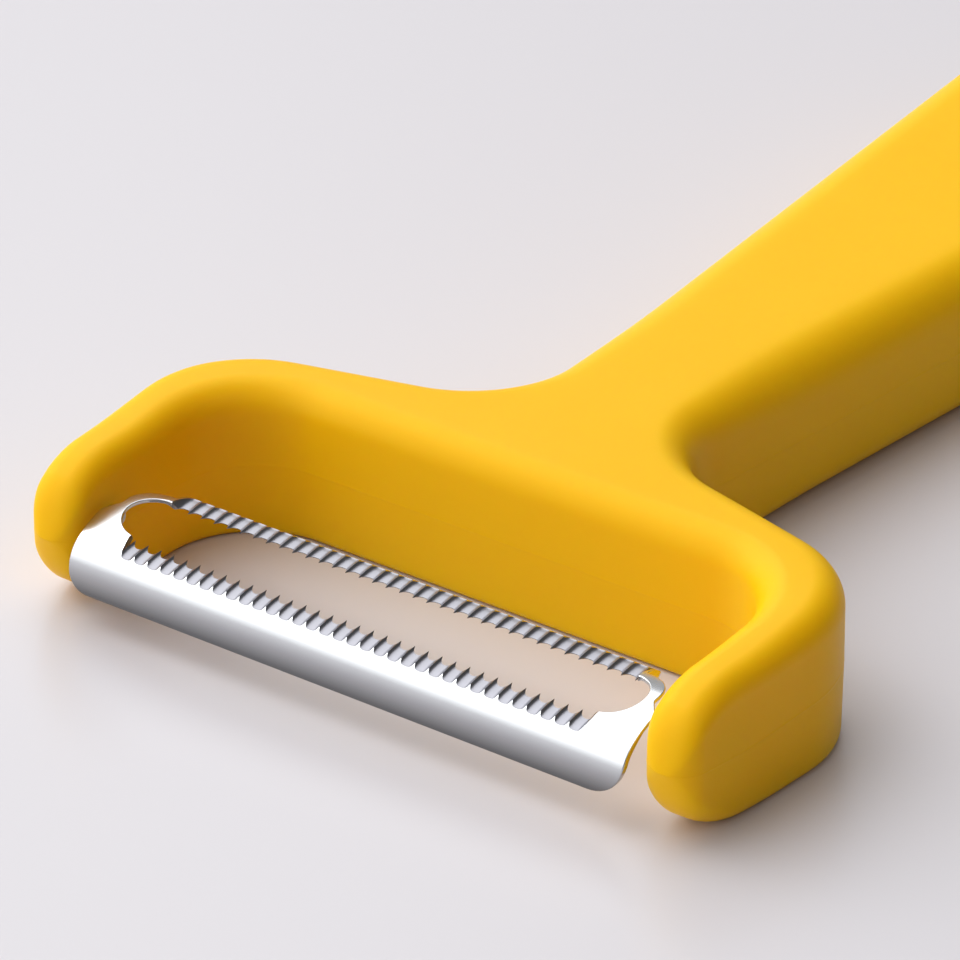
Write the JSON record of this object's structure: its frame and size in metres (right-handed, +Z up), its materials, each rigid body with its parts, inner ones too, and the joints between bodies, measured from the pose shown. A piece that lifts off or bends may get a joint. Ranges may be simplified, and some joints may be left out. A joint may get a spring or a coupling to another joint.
{
  "type": "vegetable peeler",
  "caption": "Y-shaped vegetable peeler: a one-piece moulded yoke and flat handle holding a swivelling arched blade with a toothed slot.",
  "frame": {"origin": "on the flat underside, below the middle of the peeler's length", "axes": "+X along the blade, +Y from the blade to the end of the handle, +Z up, away from the face the peeler lies on"},
  "size_m": [0.0754, 0.1483, 0.0155],
  "materials": {
    "yellow_plastic": "satin moulded plastic, light orange peel",
    "polished_steel": "polished stainless steel"
  },
  "bodies": {
    "frame": {"frame": "yellow_plastic"},
    "blade": {"blade": "polished_steel"}
  },
  "joints": [
    {"name": "blade_swivel", "type": "hinge", "parent": "frame", "child": "blade", "pos_m": [0, -0.068, 0.0083], "axis": [1, 0, 0], "range_deg": [-30, 14]}
  ]
}
